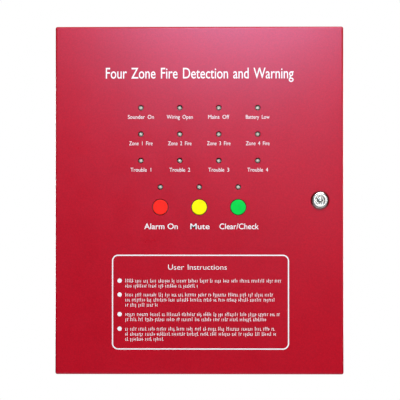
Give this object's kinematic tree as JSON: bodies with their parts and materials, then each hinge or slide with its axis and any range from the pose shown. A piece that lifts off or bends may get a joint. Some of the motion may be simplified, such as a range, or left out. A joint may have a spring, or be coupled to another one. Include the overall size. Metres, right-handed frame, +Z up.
{
  "type": "fire alarm control panel",
  "caption": "Wall-mounted fire alarm control panel: a hinged red steel cabinet with indicator lamps, push buttons and a cam lock on its door, and boards, transformer and batteries inside.",
  "frame": {"origin": "the centre of the back box's rear face, which lies on the wall", "axes": "+Z up, +Y into the wall (the door faces -Y), +X to the right of someone facing the door"},
  "size_m": [0.29, 0.0925, 0.35],
  "materials": {
    "red_paint": "fine-textured semi-gloss powder coat",
    "zinc_plated_steel": "zinc plated, satin",
    "chrome": "polished, lightly worn",
    "green_board": "solder-masked glass-fibre board",
    "lamp_clear": "water-clear epoxy",
    "button_red": "satin moulded plastic",
    "button_yellow": "satin moulded plastic",
    "button_green": "satin moulded plastic",
    "black_plastic": "moulded, fine texture",
    "grey_plastic": "moulded ABS case",
    "green_plastic": "moulded polyamide",
    "blue_plastic": "moulded relay cover",
    "core_steel": "varnished steel laminations",
    "coil_tape": "polyester film tape over a winding",
    "aluminium": "extruded, as drawn",
    "brass": "turned",
    "white_ink": "screen-printed legends, drawn only in the scene"
  },
  "bodies": {
    "enclosure": {"back_box": "red_paint", "hinge_box_leaf_upper": "zinc_plated_steel", "hinge_box_leaf_lower": "zinc_plated_steel", "hinge_pin_upper": "zinc_plated_steel", "hinge_pin_lower": "zinc_plated_steel", "main_board": "green_board", "main_nut_1": "zinc_plated_steel", "main_nut_2": "zinc_plated_steel", "main_nut_3": "zinc_plated_steel", "main_nut_4": "zinc_plated_steel", "field_terminals": "green_plastic", "relay_1": "blue_plastic", "relay_2": "blue_plastic", "fuse_holder": "black_plastic", "heat_sink": "aluminium", "lock_strike": "zinc_plated_steel", "transformer_core": "core_steel", "transformer_coil": "coil_tape", "transformer_strap": "zinc_plated_steel", "mains_terminals": "black_plastic", "earth_bolt": "brass", "battery_1": "grey_plastic", "battery_2": "grey_plastic", "battery_strap": "zinc_plated_steel"},
    "door": {"door_panel": "red_paint", "hinge_door_leaf_upper": "zinc_plated_steel", "hinge_door_leaf_lower": "zinc_plated_steel", "lock_housing": "chrome", "lock_nut": "zinc_plated_steel", "display_board": "green_board", "display_nut_1": "zinc_plated_steel", "display_nut_2": "zinc_plated_steel", "display_nut_3": "zinc_plated_steel", "display_nut_4": "zinc_plated_steel", "buzzer": "black_plastic", "ribbon_socket": "black_plastic", "switch_evacuate": "black_plastic", "switch_silence": "black_plastic", "switch_reset": "black_plastic", "lamp_sounder_on": "lamp_clear", "lamp_sounder_fault": "lamp_clear", "lamp_mains_fault": "lamp_clear", "lamp_battery_fault": "lamp_clear", "lamp_zone_1_fire": "lamp_clear", "lamp_zone_2_fire": "lamp_clear", "lamp_zone_3_fire": "lamp_clear", "lamp_zone_4_fire": "lamp_clear", "lamp_zone_1_fault": "lamp_clear", "lamp_zone_2_fault": "lamp_clear", "lamp_zone_3_fault": "lamp_clear", "lamp_zone_4_fault": "lamp_clear", "lamp_evacuate": "lamp_clear", "lamp_silence": "lamp_clear", "lamp_reset": "lamp_clear"},
    "lock": {"lock_plug": "chrome", "lock_cam": "zinc_plated_steel", "lock_screw": "zinc_plated_steel"},
    "evacuate_button": {"button_evacuate": "button_red"},
    "silence_button": {"button_silence": "button_yellow"},
    "reset_button": {"button_reset": "button_green"}
  },
  "joints": [
    {"name": "door_hinge", "type": "hinge", "parent": "enclosure", "child": "door", "pos_m": [-0.1425, -0.0732, 0], "axis": [0, 0, -1], "range_deg": [0, 135]},
    {"name": "lock_turn", "type": "hinge", "parent": "door", "child": "lock", "pos_m": [0.1214, -0.074, 0], "axis": [0, -1, 0], "range_deg": [0, 90]},
    {"name": "push_evacuate", "type": "slide", "parent": "door", "child": "evacuate_button", "axis": [0, 1, 0], "range_m": [0, 0.002], "stiffness_N_per_m": 500, "springref_m": -0.003},
    {"name": "push_silence", "type": "slide", "parent": "door", "child": "silence_button", "axis": [0, 1, 0], "range_m": [0, 0.002], "stiffness_N_per_m": 500, "springref_m": -0.003},
    {"name": "push_reset", "type": "slide", "parent": "door", "child": "reset_button", "axis": [0, 1, 0], "range_m": [0, 0.002], "stiffness_N_per_m": 500, "springref_m": -0.003}
  ]
}
